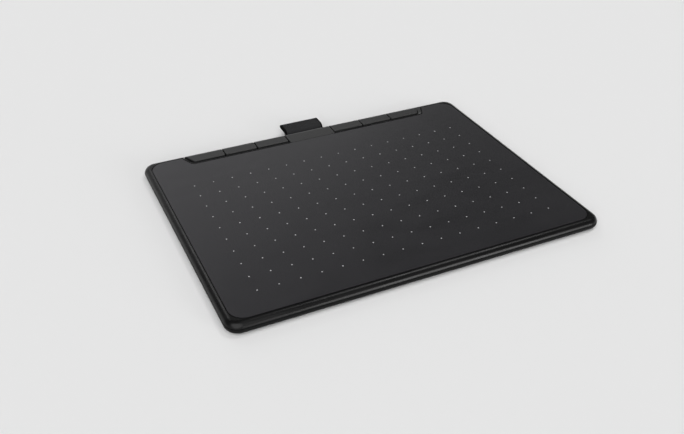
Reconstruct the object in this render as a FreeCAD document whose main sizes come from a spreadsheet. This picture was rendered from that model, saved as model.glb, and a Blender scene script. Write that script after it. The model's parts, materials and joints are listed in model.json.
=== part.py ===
import FreeCAD, Part
import math
import os
from types import SimpleNamespace

import Sketcher

# Pen tablet: a flat case whose top carries a drawing surface with a coil board under it, six press
# keys and a bare block along the back edge, and a loop of webbing for the pen behind the block.
# Millimetres. X to the right, Y to the back, Z up. The origin is on the table, below the middle of
# the box that holds the whole tablet with its loop.

SIZES = {
    # Case
    "body_width": 259.2,
    "body_depth": 193.9,
    "body_height": 7.7,
    "foot_stand": 1.0,
    "corner_radius": 9.0,
    "rim_radius": 4.4,
    "under_radius": 3.3,
    "parting_height": 4.2,
    "parting_gap": 0.3,
    "top_wall": 2.0,
    "lip_clearance": 0.15,
    "lip_thickness": 1.0,
    "lip_height": 1.0,
    "floor_thickness": 1.3,
    "plate_thickness": 1.2,
    # Drawing surface and what lies under it
    "sheet_inset": 4.75,
    "sheet_corner": 10.0,
    "sheet_thickness": 0.6,
    "seam_gap": 0.6,
    "adhesive_thickness": 0.15,
    "adhesive_inset": 1.0,
    "sensor_side": 12.2,
    "sensor_front": 11.45,
    "sensor_back": 30.45,
    "sensor_thickness": 0.8,
    "shield_thickness": 0.25,
    "shield_inset": 1.0,
    "flex_strip": 6.5,
    "foam_thickness": 0.65,
    "foam_width": 6.0,
    # Notch for the keys
    "notch_depth": 16.0,
    "notch_front": 96.0,
    "end_lean": 0.42,
    "notch_corner": 4.0,
    "well_depth": 2.3,
    "groove_width": 2.4,
    "groove_depth": 1.3,
    # Keys and block
    "block_half": 18.9,
    "block_clearance": 0.15,
    "key_pitch": 25.2,
    "key_gap": 0.8,
    "key_depth": 12.1,
    "key_clearance": 0.4,
    "key_lift": 0.4,
    "key_corner": 0.8,
    "end_front": 93.5,
    "end_corner": 2.5,
    "key_round": 0.35,
    "key_top_wall": 1.0,
    "key_side_wall": 1.2,
    "key_back_wall": 2.8,
    "stem_radius": 1.6,
    "stem_clearance": 0.3,
    "hook_offset": 7.0,
    "hook_width": 3.0,
    "hook_thickness": 1.0,
    "hook_catch": 0.8,
    "hook_height": 0.7,
    "hook_play": 0.05,
    "hook_clearance": 0.3,
    "peg_radius": 1.1,
    "peg_offset": 9.0,
    "peg_clearance": 0.1,
    "peg_length": 0.8,
    # Switches
    "switch_size": 6.0,
    "switch_height": 1.0,
    "switch_back": 8.0,
    "plunger_radius": 1.0,
    "plunger_clearance": 0.1,
    "plunger_length": 0.9,
    "dome_height": 0.45,
    "dome_radius": 0.9,
    # Main board
    "board_lift": 0.6,
    "board_thickness": 1.0,
    "board_left": 105.0,
    "board_front": 28.0,
    "board_back": 3.65,
    "tab_front": 27.0,
    "tab_back": 13.0,
    "tab_end": 3.7,
    "cutout_half": 24.0,
    "cutout_front": 16.0,
    "controller_x": -72.0,
    "controller_size": 7.0,
    "controller_height": 0.9,
    "chip_row": 17.5,
    "multiplexer_x": 34.0,
    "multiplexer_pitch": 18.0,
    "multiplexer_length": 5.0,
    "multiplexer_width": 4.4,
    "multiplexer_height": 1.1,
    "crystal_x": -63.0,
    "crystal_length": 3.2,
    "crystal_width": 2.5,
    "crystal_height": 0.7,
    "small_length": 1.0,
    "small_width": 0.6,
    "small_height": 0.5,
    "small_pitch": 2.2,
    "small_row": 5.4,
    "flex_x": -40.0,
    "flex_width": 20.0,
    "flex_thickness": 0.2,
    "flex_overlap": 5.5,
    "connector_length": 24.0,
    "connector_width": 4.0,
    "connector_height": 1.2,
    "connector_front": 1.8,
    "connector_slot": 0.5,
    "connector_back_wall": 1.0,
    "connector_play": 0.3,
    "flex_drop": 0.8,
    "flex_foot": 0.4,
    # Inlet
    "port_back": 19.75,
    "port_height": 4.9,
    "port_clearance": 0.33,
    "port_inner": 0.75,
    "usb_width": 8.94,
    "usb_height": 3.26,
    "usb_wall": 0.3,
    "usb_length": 7.35,
    "usb_recess": 0.6,
    "usb_base": 1.0,
    "usb_wing": 1.0,
    "usb_wing_length": 3.5,
    "usb_wing_thickness": 0.3,
    "tongue_width": 6.7,
    "tongue_thickness": 0.7,
    "tongue_length": 4.45,
    "cutout_clearance": 0.2,
    # Pen loop
    "loop_width": 31.5,
    "web_thickness": 1.0,
    "loop_gap": 0.4,
    "loop_reach": 15.0,
    "loop_bend": 4.0,
    "loop_rise": 55.0,
    "loop_split": 8.0,
    "loop_pad": 0.3,
    "slot_clearance": 0.3,
    "root_length": 12.5,
    "clamp_thickness": 0.7,
    "clamp_width": 5.0,
    "clamp_length": 41.0,
    "clamp_back": 8.95,
    "clamp_screw_x": 18.2,
    "clamp_boss_radius": 2.2,
    "head_clearance": 0.3,
    # Fasteners
    "screw_inset": 9.0,
    "side_screw_inset": 7.0,
    "side_screw_y": -5.0,
    "front_screw_inset": 6.6,
    "front_screw_x": 45.0,
    "screw_radius": 1.0,
    "screw_length": 3.6,
    "screw_head_radius": 1.9,
    "screw_head_height": 1.3,
    "screw_clearance": 0.2,
    "thread_clearance": 0.05,
    "counterbore_radius": 2.3,
    "counterbore_depth": 1.6,
    "boss_radius": 3.2,
    "top_boss_radius": 2.6,
    "boss_height": 1.5,
    "recess_length": 2.4,
    "recess_width": 0.6,
    "recess_depth": 0.6,
    "small_screw_radius": 0.8,
    "small_head_radius": 1.7,
    "small_head_height": 0.8,
    "board_screw_grip": 0.8,
    "clamp_screw_grip": 1.4,
    "board_screw_outer": 98.0,
    "board_screw_inner": 14.0,
    "board_screw_back": 23.95,
    "standoff_radius": 2.2,
    "support_radius": 1.5,
    # Ribs and feet
    "rib_width": 1.4,
    "rib_reach": 105.0,
    "rib_row_pitch": 50.0,
    "rib_column_pitch": 48.0,
    "rib_column_length": 125.0,
    "foot_length": 40.0,
    "foot_width": 8.0,
    "foot_recess": 0.5,
    "foot_corner": 3.5,
    "foot_round": 0.3,
    "foot_side": 29.6,
    "foot_end": 16.95,
}

KEYS_PER_SIDE = 3
MULTIPLEXERS = 4
SMALL_COMPONENTS = 9  # in each row beside the controller
RIB_ROWS = (-1, 0, 1)
RIB_COLUMNS = (-2, -1, 0, 1, 2)
MARGIN = 3.0  # how far a cut runs past the solid it cuts
TOUCH = 1e-4  # how close two places count as one


class Length:
    """A size: its number now, and the expression that works it out from the sheet."""

    def __init__(self, number, text):
        self.number = number
        self.text = text

    def __add__(self, other):
        other = as_length(other)
        return Length(self.number + other.number, f"({self.text} + {other.text})")

    def __sub__(self, other):
        other = as_length(other)
        return Length(self.number - other.number, f"({self.text} - {other.text})")

    def __mul__(self, other):
        other = as_length(other)
        return Length(self.number * other.number, f"({self.text} * {other.text})")

    def __truediv__(self, other):
        other = as_length(other)
        return Length(self.number / other.number, f"({self.text} / {other.text})")

    def __neg__(self):
        return self * -1

    __radd__ = __add__
    __rmul__ = __mul__


def as_length(value):
    return value if isinstance(value, Length) else Length(float(value), f"({value})")


def sine(angle):
    return Length(math.sin(math.radians(angle.number)), f"sin({angle.text} * 1 deg)")


def cosine(angle):
    return Length(math.cos(math.radians(angle.number)), f"cos({angle.text} * 1 deg)")


def root(value):
    return Length(math.sqrt(value.number), f"sqrt({value.text})")


def write_sheet(doc):
    sheet = doc.addObject("Spreadsheet::Sheet", "sizes")
    for row, (name, value) in enumerate(SIZES.items(), start=1):
        sheet.set(f"A{row}", name)
        sheet.set(f"B{row}", str(value))
        sheet.setAlias(f"B{row}", name)
    doc.recompute()
    return SimpleNamespace(**{name: Length(float(sheet.get(name)), f"sizes.{name}") for name in SIZES})


doc = FreeCAD.newDocument("pen_tablet")
s = write_sheet(doc)

# Places that several pieces share
half_width = s.body_width / 2
half_depth = s.body_depth / 2
underside = s.foot_stand
top = s.foot_stand + s.body_height
parting_low = underside + s.parting_height
parting_high = parting_low + s.parting_gap
floor_top = underside + s.floor_thickness
seat = top - s.sheet_thickness - s.adhesive_thickness
plate_bottom = seat - s.plate_thickness
shelf_top = top - s.well_depth
key_bottom = shelf_top + s.key_lift
key_front = half_depth - s.key_depth
notch_edge = half_depth - s.notch_depth
sheet_back = half_depth - s.sheet_inset
case_inset = s.top_wall + s.lip_clearance + s.lip_thickness
board_low = floor_top + s.board_lift
board_high = board_low + s.board_thickness
sensor_high = plate_bottom - s.adhesive_thickness
sensor_low = sensor_high - s.sensor_thickness
shield_low = sensor_low - s.shield_thickness
rib_top = shield_low - s.foam_thickness
sensor_x = half_width - s.sensor_side
sensor_y0 = s.sensor_front - half_depth
sensor_y1 = half_depth - s.sensor_back
shield_y0 = sensor_y0 + s.shield_inset
shield_y1 = sensor_y1 - s.flex_strip
switch_y = half_depth - s.switch_back
switch_top = board_high + s.switch_height
hook_top = parting_high - s.hook_play
boss_top = floor_top + s.boss_height
port_y = half_depth - s.port_back
root_low = floor_top + s.loop_pad
root_high = root_low + s.web_thickness * 2
clamp_y = half_depth - s.clamp_back
peg_bottom = shelf_top - s.peg_length
chip_y = half_depth - s.chip_row
loop_half = s.web_thickness + s.loop_gap / 2
lean_length = root(1 + s.end_lean * s.end_lean)
shelf_end = s.notch_front + s.end_lean * s.notch_depth + s.top_wall
board_screw_y = half_depth - s.board_screw_back
shift = s.loop_reach / -2

KEYS = [(side, number) for side in (-1, 1) for number in range(KEYS_PER_SIDE)]


def key_x(side, number):
    return (s.block_half + s.key_pitch * (number + 0.5)) * side


def case_screw_places():
    corner_x = half_width - s.screw_inset
    corner_y = half_depth - s.screw_inset
    places = [(corner_x * i, corner_y * j) for i in (-1, 1) for j in (-1, 1)]
    places += [((half_width - s.side_screw_inset) * i, s.side_screw_y) for i in (-1, 1)]
    places += [(s.front_screw_x * i, s.front_screw_inset - half_depth) for i in (-1, 1)]
    return places


def board_screw_places():
    columns = (-s.board_screw_outer, -s.board_screw_inner, s.board_screw_inner, s.board_screw_outer)
    return [(x, board_screw_y) for x in columns]


# Sketch drawing

def bind(sketch, constraint, value):
    index = sketch.addConstraint(constraint)
    sketch.setExpression(f"Constraints[{index}]", value.text)


def pin(sketch, curve, point, x, y):
    bind(sketch, Sketcher.Constraint("DistanceX", curve, point, x.number), x)
    bind(sketch, Sketcher.Constraint("DistanceY", curve, point, y.number), y)


def arc(start, end, bend):
    """The shorter arc from start to end; a positive bend turns left."""
    chord = end - start
    left = FreeCAD.Vector(-chord.y, chord.x, 0).normalize()
    sagitta = math.sqrt(max(bend ** 2 - (chord.Length / 2) ** 2, 0))
    centre = (start + end) / 2 + left * math.copysign(sagitta, bend)
    first, last = (start, end) if bend > 0 else (end, start)
    angles = [math.atan2(p.y - centre.y, p.x - centre.x) for p in (first, last)]
    circle = Part.Circle(centre, FreeCAD.Vector(0, 0, 1), abs(bend))
    return Part.ArcOfCircle(circle, *angles)


def outline(sketch, points):
    """A closed outline of (x, y) or (x, y, bend) points, where bend shapes the run to the next one."""
    places = [FreeCAD.Vector(p[0].number, p[1].number, 0) for p in points]
    ends = []
    for n, point in enumerate(points):
        start, end = places[n], places[(n + 1) % len(points)]
        if len(point) == 3:
            bend = point[2]
            curve = sketch.addGeometry(arc(start, end, bend.number))
            radius = bend if bend.number > 0 else -bend
            bind(sketch, Sketcher.Constraint("Radius", curve, radius.number), radius)
            ends.append((curve, 1, 2) if bend.number > 0 else (curve, 2, 1))
        else:
            curve = sketch.addGeometry(Part.LineSegment(start, end))
            ends.append((curve, 1, 2))
    for n, (curve, start, end) in enumerate(ends):
        following = ends[(n + 1) % len(ends)]
        sketch.addConstraint(Sketcher.Constraint("Coincident", curve, end, following[0], following[1]))
        pin(sketch, curve, start, points[n][0], points[n][1])


def rectangle(sketch, x0, x1, y0, y1):
    outline(sketch, [(x0, y0), (x1, y0), (x1, y1), (x0, y1)])


def rounded(sketch, x0, x1, y0, y1, r):
    right = [(x1 - r, y0, r), (x1, y0 + r), (x1, y1 - r, r)]
    left = [(x0 + r, y1, r), (x0, y1 - r), (x0, y0 + r, r)]
    outline(sketch, [(x0 + r, y0), *right, (x1 - r, y1), *left])


def block(sketch, x, y, width, depth):
    rectangle(sketch, x - width / 2, x + width / 2, y - depth / 2, y + depth / 2)


def circle(sketch, x, y, r):
    centre = FreeCAD.Vector(x.number, y.number, 0)
    curve = sketch.addGeometry(Part.Circle(centre, FreeCAD.Vector(0, 0, 1), r.number))
    bind(sketch, Sketcher.Constraint("Radius", curve, r.number), r)
    pin(sketch, curve, 3, x, y)


def circles(sketch, places, r):
    for x, y in places:
        circle(sketch, x, y, r)


def stadium(sketch, x, y, width, height):
    """An outline with round ends, each end two quarter turns."""
    r = height / 2
    run = width / 2 - r
    right = [(x + run, y - r, r), (x + run + r, y, r)]
    left = [(x - run, y + r, r), (x - run - r, y, r)]
    outline(sketch, [(x - run, y - r), *right, (x + run, y + r), *left])


def cross(sketch, x, y, length, width):
    a, b = length / 2, width / 2
    corners = [(-b, -a), (b, -a), (b, -b), (a, -b), (a, b), (b, b)]
    corners += [(b, a), (-b, a), (-b, b), (-a, b), (-a, -b), (-b, -b)]
    outline(sketch, [(x + i, y + j) for i, j in corners])


# Features

def new_body(name):
    body = doc.addObject("PartDesign::Body", name)
    body.Label = name
    body.setExpression("Placement.Base.y", shift.text)
    return body


def new_sketch(body, name, draw, offset, plane="XY_Plane"):
    origin_plane = next(f for f in body.Origin.OriginFeatures if f.Role == plane)
    sketch = body.newObject("Sketcher::SketchObject", f"{name}_sketch")
    sketch.AttachmentSupport = (origin_plane, [""])
    sketch.MapMode = "FlatFace"
    sketch.setExpression("AttachmentOffset.Base.z", offset.text)
    draw(sketch)
    return sketch


def pad(body, name, low, high, draw, plane="XY_Plane"):
    feature = body.newObject("PartDesign::Pad", name)
    feature.Profile = new_sketch(body, name, draw, low, plane)
    feature.setExpression("Length", (high - low).text)
    body.Tip = feature
    return feature


def pocket(body, name, low, high, draw, plane="XY_Plane"):
    feature = body.newObject("PartDesign::Pocket", name)
    feature.Profile = new_sketch(body, name, draw, high, plane)
    feature.setExpression("Length", (high - low).text)
    body.Tip = feature
    return feature


def fillet(body, name, radius, wanted):
    """Rounds the edges of the body so far that the test picks."""
    doc.recompute()
    base = body.Tip
    picked = [f"Edge{n}" for n, edge in enumerate(base.Shape.Edges, start=1) if wanted(edge)]
    feature = body.newObject("PartDesign::Fillet", name)
    feature.Base = (base, picked)
    feature.setExpression("Radius", radius.text)
    body.Tip = feature
    return feature


def at_height(edge, z):
    return all(abs(v.Z - z.number) < TOUCH for v in edge.Vertexes)


def at_depth(edge, y):
    return all(abs(v.Y - y.number) < TOUCH for v in edge.Vertexes)


def is_upright(edge):
    start, end = edge.Vertexes[0].Point, edge.Vertexes[-1].Point
    return abs(start.x - end.x) < TOUCH and abs(start.y - end.y) < TOUCH < abs(start.z - end.z)


def box(name, x0, x1, y0, y1, z0, z1):
    solid = doc.addObject("Part::Box", name)
    solid.Label = name
    for axis, value in zip(("Length", "Width", "Height"), (x1 - x0, y1 - y0, z1 - z0)):
        solid.setExpression(axis, value.text)
    for axis, value in zip("xyz", (x0, y0 + shift, z0)):
        solid.setExpression(f"Placement.Base.{axis}", value.text)
    return solid


# Outlines of the case

def case_outline(sketch, inset):
    corner = s.corner_radius - inset
    rounded(sketch, inset - half_width, half_width - inset, inset - half_depth, half_depth - inset, corner)


def everything(sketch):
    x = half_width + MARGIN
    y = half_depth + MARGIN
    rectangle(sketch, -x, x, -y, y)


def leaning_corner(x, y, r):
    """Where a rounded corner leaves the line along X and where it meets the line that leans out."""
    reach = r * (lean_length - s.end_lean)
    return (x - reach, y), (x + reach * s.end_lean / lean_length, y + reach / lean_length)


def sheet_outline(sketch, grow):
    """The drawing surface, notched round the keys, larger by the given margin."""
    x, y0, y1 = half_width - s.sheet_inset + grow, s.sheet_inset - half_depth - grow, sheet_back + grow
    r = s.sheet_corner + grow
    offset = (lean_length - s.end_lean) * grow
    back_x = s.notch_front + s.end_lean * (sheet_back - notch_edge) - offset
    inner = s.notch_corner - grow
    near, far = leaning_corner(s.notch_front - offset, notch_edge + grow, inner)
    right = [(x - r, y0, r), (x, y0 + r), (x, y1 - r, r), (x - r, y1), (back_x, y1), (*far, -inner)]
    left = [(-far[0], far[1]), (-back_x, y1), (r - x, y1, r), (-x, y1 - r), (-x, y0 + r, r)]
    outline(sketch, [(r - x, y0), *right, near, (-near[0], near[1], -inner), *left])


def key_row_outline(sketch, grow):
    """The well round the keys, open past the back edge, larger by the given margin."""
    gap = s.key_clearance + grow
    r = s.end_corner + gap
    offset = (lean_length - s.end_lean) * gap
    near, far = leaning_corner(s.end_front + offset, key_front - gap, r)
    y1 = half_depth + MARGIN
    x1 = s.end_front + s.end_lean * (s.key_depth + MARGIN) + lean_length * gap
    outline(sketch, [(-near[0], near[1]), (*near, r), far, (x1, y1), (-x1, y1), (-far[0], far[1], r)])


def block_notch(sketch):
    x = s.block_half
    rectangle(sketch, -x, x, notch_edge + s.seam_gap, key_front)


# Case

def make_bottom_cover():
    body = new_body("bottom_cover")
    pad(body, "tray", underside, parting_low, lambda k: case_outline(k, as_length(0)))
    fillet(body, "tray_round", s.under_radius, lambda e: at_height(e, underside))
    pad(body, "lip", floor_top, parting_low + s.lip_height,
        lambda k: case_outline(k, s.top_wall + s.lip_clearance))
    pocket(body, "hollow", floor_top, parting_low + s.lip_height, lambda k: case_outline(k, case_inset))
    pocket(body, "lip_end", parting_low, parting_low + s.lip_height,
           lambda k: rectangle(k, -shelf_end, shelf_end, notch_edge, half_depth))
    pad(body, "rows", floor_top, rib_top, draw_rib_rows)
    pad(body, "columns", floor_top, rib_top, draw_rib_columns)
    pad(body, "bosses", floor_top, boss_top, lambda k: circles(k, case_screw_places(), s.boss_radius))
    pad(body, "standoffs", floor_top, board_low, draw_board_supports)
    add_loop_anchor(body)
    cut_cover_holes(body)
    return body


def draw_rib_rows(sketch):
    middle = (shield_y0 + shield_y1) / 2
    for n in RIB_ROWS:
        block(sketch, as_length(0), middle + s.rib_row_pitch * n, s.rib_reach * 2, s.rib_width)


def draw_rib_columns(sketch):
    middle = (shield_y0 + shield_y1) / 2
    for n in RIB_COLUMNS:
        block(sketch, s.rib_column_pitch * n, middle, s.rib_width, s.rib_column_length)


def draw_board_supports(sketch):
    circles(sketch, board_screw_places(), s.standoff_radius)
    circles(sketch, [(key_x(side, n), switch_y) for side, n in KEYS], s.support_radius)


def add_loop_anchor(body):
    """The pad that the loop's ends lie on, the bosses of its clamp and its slot in the back wall."""
    web = s.loop_width / 2
    half = web + s.slot_clearance
    inner_wall = half_depth - case_inset
    root_front = half_depth - s.root_length
    pad(body, "anchor_pad", floor_top, root_low, lambda k: rectangle(k, -web, web, root_front, inner_wall))
    places = [(s.clamp_screw_x * side, clamp_y) for side in (-1, 1)]
    pad(body, "clamp_bosses", floor_top, root_high, lambda k: circles(k, places, s.clamp_boss_radius))
    bore = s.small_screw_radius + s.thread_clearance
    pocket(body, "clamp_bores", root_high - s.clamp_screw_grip - s.head_clearance, root_high,
           lambda k: circles(k, places, bore))
    pocket(body, "slot", floor_top, parting_low,
           lambda k: rectangle(k, -half, half, inner_wall, half_depth + MARGIN))


def cut_cover_holes(body):
    places = case_screw_places()
    ceiling = underside + s.counterbore_depth
    pocket(body, "counterbores", underside, ceiling, lambda k: circles(k, places, s.counterbore_radius))
    pocket(body, "screw_holes", underside, boss_top,
           lambda k: circles(k, places, s.screw_radius + s.screw_clearance))
    bore = s.small_screw_radius + s.thread_clearance
    pocket(body, "board_bores", board_low - s.board_screw_grip - s.head_clearance, board_low,
           lambda k: circles(k, board_screw_places(), bore))
    pocket(body, "foot_recesses", underside, underside + s.foot_recess, draw_feet)
    cut_port(body)


def cut_port(body):
    grow = s.port_clearance * 2
    pocket(body, "port", half_width - case_inset - s.port_inner, half_width + MARGIN,
           lambda k: stadium(k, port_y, s.port_height, s.usb_width + grow, s.usb_height + grow), "YZ_Plane")


def foot_places():
    x, y = half_width - s.foot_side, half_depth - s.foot_end
    return {"front_left": (-x, -y), "front_right": (x, -y), "back_left": (-x, y), "back_right": (x, y)}


def draw_foot(sketch, x, y):
    a, b = s.foot_length / 2, s.foot_width / 2
    rounded(sketch, x - a, x + a, y - b, y + b, s.foot_corner)


def draw_feet(sketch):
    for x, y in foot_places().values():
        draw_foot(sketch, x, y)


def make_feet():
    made = []
    for name, (x, y) in foot_places().items():
        body = new_body(f"foot_{name}")
        pad(body, f"{name}_pad", as_length(0), underside + s.foot_recess, lambda k: draw_foot(k, x, y))
        fillet(body, f"{name}_round", s.foot_round, lambda e: at_height(e, as_length(0)))
        made.append(body)
    return made


def make_top_cover():
    body = new_body("top_cover")
    start = top - s.rim_radius - s.parting_gap
    pad(body, "shell", start, top, lambda k: case_outline(k, as_length(0)))
    fillet(body, "rim", s.rim_radius, lambda e: at_height(e, top))
    pocket(body, "trim", start, parting_high, everything)
    pocket(body, "chamber", parting_high, plate_bottom, draw_chamber)
    pocket(body, "seat", seat, top, lambda k: sheet_outline(k, s.seam_gap))
    pocket(body, "well", shelf_top, top, lambda k: key_row_outline(k, as_length(0)))
    pocket(body, "block_well", shelf_top, top, block_notch)
    add_finger_groove(body)
    pocket(body, "shelf_holes", parting_high, shelf_top, draw_shelf_holes)
    places = case_screw_places()
    bore = s.screw_radius + s.thread_clearance
    bore_top = underside + s.counterbore_depth + s.screw_length + s.head_clearance
    pad(body, "top_bosses", boss_top, plate_bottom, lambda k: circles(k, places, s.top_boss_radius))
    pocket(body, "top_bores", boss_top, bore_top, lambda k: circles(k, places, bore))
    cut_port(body)
    return body


def draw_chamber(sketch):
    """The space under the plate; the key shelf stays whole across the middle of the back."""
    r = s.corner_radius - s.top_wall
    x, y = half_width - s.top_wall, half_depth - s.top_wall
    shelf_y = notch_edge - s.top_wall
    right = [(x - r, -y, r), (x, r - y), (x, y - r, r), (x - r, y), (shelf_end, y), (shelf_end, shelf_y)]
    left = [(-shelf_end, shelf_y), (-shelf_end, y), (r - x, y, r), (-x, y - r), (-x, r - y, r)]
    outline(sketch, [(r - x, -y), *right, *left])


def add_finger_groove(body):
    """A slope from the top down to the front of the keys and past the ends of their row."""
    wide = new_sketch(body, "groove_top", lambda k: key_row_outline(k, s.groove_width), top)
    narrow = new_sketch(body, "groove_foot", lambda k: key_row_outline(k, as_length(0)), top - s.groove_depth)
    groove = body.newObject("PartDesign::SubtractiveLoft", "finger_groove")
    groove.Profile = wide
    groove.Sections = [narrow]
    groove.Ruled = True
    body.Tip = groove


def draw_shelf_holes(sketch):
    for side, n in KEYS:
        x = key_x(side, n)
        circle(sketch, x, switch_y, s.stem_radius + s.stem_clearance)
        for end in (-1, 1):
            grow = s.hook_clearance * 2
            block(sketch, x + s.hook_offset * end, switch_y, s.hook_width + grow, s.hook_thickness + grow)
    for side in (-1, 1):
        circle(sketch, s.peg_offset * side, switch_y, s.peg_radius + s.peg_clearance)
        circle(sketch, s.clamp_screw_x * side, clamp_y, s.small_head_radius + s.head_clearance)


# Keys and block

def shape_cap(body, name, corners, draw):
    """A cap on the key row whose back follows the rim; the solid reaches down to the rim's foot."""
    pad(body, f"{name}_cap", top - s.rim_radius - s.parting_gap, top, draw)
    for n, (radius, places) in enumerate(corners):
        fillet(body, f"{name}_corner_{n}", radius, lambda e: is_upright(e) and stands_at(e, places))
    fillet(body, f"{name}_back", s.rim_radius, lambda e: at_height(e, top) and at_depth(e, half_depth))
    back_line = half_depth - s.rim_radius
    fillet(body, f"{name}_edge", s.key_round, lambda e: at_height(e, top) and not at_depth(e, back_line))


def stands_at(edge, places):
    point = edge.Vertexes[0].Point
    return any(abs(point.x - x.number) < TOUCH and abs(point.y - y.number) < TOUCH for x, y in places)


def key_corners(side, number):
    """The inner and outer side of a key: x at the front and x at the back."""
    inner = (s.block_half + s.key_pitch * number + s.key_gap / 2) * side
    if number == KEYS_PER_SIDE - 1:
        return (inner, inner), (s.end_front * side, (s.end_front + s.end_lean * s.key_depth) * side)
    outer = (s.block_half + s.key_pitch * (number + 1) - s.key_gap / 2) * side
    return (inner, inner), (outer, outer)


def draw_key(sketch, side, number):
    (inner, inner_back), (outer, outer_back) = key_corners(side, number)
    back = [(outer_back, half_depth), (inner_back, half_depth)]
    outline(sketch, [(inner, key_front), (outer, key_front), *back])


def draw_key_legs(sketch, x, catch, with_stem):
    """Everything but the stem and the hooks' legs, which the cut leaves standing."""
    everything(sketch)
    if with_stem:
        circle(sketch, x, switch_y, s.stem_radius)
    half = s.hook_thickness / 2
    for end in (-1, 1):
        a = x + s.hook_offset * end - s.hook_width / 2
        rectangle(sketch, a, a + s.hook_width, switch_y - half - catch, switch_y + half)


def draw_key_hollow(sketch, side, number):
    x = key_x(side, number)
    inner, outer = (ends[0] for ends in key_corners(side, number))
    wall = s.end_corner if number == KEYS_PER_SIDE - 1 else s.key_side_wall
    rectangle(sketch, inner + s.key_side_wall * side, outer - wall * side, key_front + s.key_side_wall,
              half_depth - s.key_back_wall)
    circle(sketch, x, switch_y, s.stem_radius)
    for end in (-1, 1):
        block(sketch, x + s.hook_offset * end, switch_y, s.hook_width, s.hook_thickness)


def make_key(index, side, number):
    name = f"key_{index}"
    body = new_body(name)
    x = key_x(side, number)
    inner, outer = (ends[0] for ends in key_corners(side, number))
    corners = [(s.key_corner, [(inner, key_front)]), (s.key_corner, [(outer, key_front)])]
    if number == KEYS_PER_SIDE - 1:
        corners[1] = (s.end_corner, [(outer, key_front)])
    shape_cap(body, name, corners, lambda k: draw_key(k, side, number))
    hook_low = hook_top - s.hook_height
    zero = as_length(0)
    pocket(body, f"{name}_below", top - s.rim_radius - s.parting_gap, hook_low, everything)
    pocket(body, f"{name}_hooks", hook_low, hook_top, lambda k: draw_key_legs(k, x, s.hook_catch, False))
    pocket(body, f"{name}_legs", hook_top, key_bottom, lambda k: draw_key_legs(k, x, zero, True))
    pocket(body, f"{name}_hollow", key_bottom, top - s.key_top_wall,
           lambda k: draw_key_hollow(k, side, number))
    return body


def make_centre_block():
    body = new_body("centre_block")
    half = s.block_half - s.key_gap / 2
    front = notch_edge + s.seam_gap + s.block_clearance
    corners = [(s.key_corner, [(half, front), (-half, front)])]
    shape_cap(body, "block", corners, lambda k: rectangle(k, -half, half, front, half_depth))
    pegs = [(s.peg_offset * side, switch_y) for side in (-1, 1)]
    pocket(body, "block_below", top - s.rim_radius - s.parting_gap, peg_bottom, everything)
    wall = s.key_side_wall

    def draw_round_pegs(sketch):
        everything(sketch)
        circles(sketch, pegs, s.peg_radius)

    def draw_hollow(sketch):
        rectangle(sketch, wall - half, half - wall, front + wall, half_depth - s.key_back_wall)
        circles(sketch, pegs, s.peg_radius + wall)

    pocket(body, "block_pegs", peg_bottom, shelf_top, draw_round_pegs)
    pocket(body, "block_hollow", shelf_top, top - s.key_top_wall, draw_hollow)
    return body


# Switches

def make_switch(index, x):
    housing = new_body(f"switch_body_{index}")
    size = s.switch_size
    pad(housing, f"housing_{index}", board_high, switch_top, lambda k: block(k, x, switch_y, size, size))
    bore = s.plunger_radius + s.plunger_clearance
    plunger_low = hook_top - s.plunger_length
    bore_low = plunger_low - s.dome_height
    pocket(housing, f"bore_{index}", bore_low, switch_top, lambda k: circle(k, x, switch_y, bore))
    plunger = new_body(f"switch_plunger_{index}")
    pad(plunger, f"stem_{index}", plunger_low, hook_top, lambda k: circle(k, x, switch_y, s.plunger_radius))
    dome = new_body(f"switch_dome_{index}")
    pad(dome, f"dome_{index}", bore_low, plunger_low, lambda k: circle(k, x, switch_y, s.dome_radius))
    return [housing, plunger, dome]


# Drawing surface and what lies under it

def make_layers():
    surface = new_body("drawing_surface")
    pad(surface, "sheet", top - s.sheet_thickness, top, lambda k: sheet_outline(k, as_length(0)))
    film = new_body("surface_adhesive")
    pad(film, "film", seat, top - s.sheet_thickness, lambda k: sheet_outline(k, -s.adhesive_inset))
    glue = box("sensor_adhesive", -sensor_x, sensor_x, sensor_y0, sensor_y1, sensor_high, plate_bottom)
    sensor = box("sensor_board", -sensor_x, sensor_x, sensor_y0, sensor_y1, sensor_low, sensor_high)
    shield_x = sensor_x - s.shield_inset
    shield = box("shield_sheet", -shield_x, shield_x, shield_y0, shield_y1, shield_low, sensor_low)
    foam = new_body("foam_pads")
    pad(foam, "strips", rib_top, shield_low, draw_foam)
    return [surface, film, glue, sensor, shield, foam]


def draw_foam(sketch):
    middle = (shield_y0 + shield_y1) / 2
    for n in RIB_ROWS:
        block(sketch, as_length(0), middle + s.rib_row_pitch * n, s.rib_reach * 2, s.foam_width)


# Main board

def make_main_board():
    body = new_body("main_board")
    pad(body, "board", board_low, board_high, draw_board)
    pocket(body, "board_holes", board_low, board_high,
           lambda k: circles(k, board_screw_places(), s.small_screw_radius + s.screw_clearance))
    return body


def draw_board(sketch):
    x0, x1, x2 = -s.board_left, s.board_left, half_width - s.tab_end
    y0, y1 = half_depth - s.board_front, half_depth - s.board_back
    t0, t1 = half_depth - s.tab_front, half_depth - s.tab_back
    c, d = s.cutout_half, half_depth - s.cutout_front
    u = s.usb_width / 2 + s.cutout_clearance
    v = half_width - s.usb_recess - s.usb_length - s.cutout_clearance
    lower_tab = [(x1, t0), (x2, t0), (x2, port_y - u), (v, port_y - u)]
    upper_tab = [(v, port_y + u), (x2, port_y + u), (x2, t1), (x1, t1)]
    back = [(x1, y1), (c, y1), (c, d), (-c, d), (-c, y1), (x0, y1)]
    outline(sketch, [(x0, y0), (x1, y0), *lower_tab, *upper_tab, *back])


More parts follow.
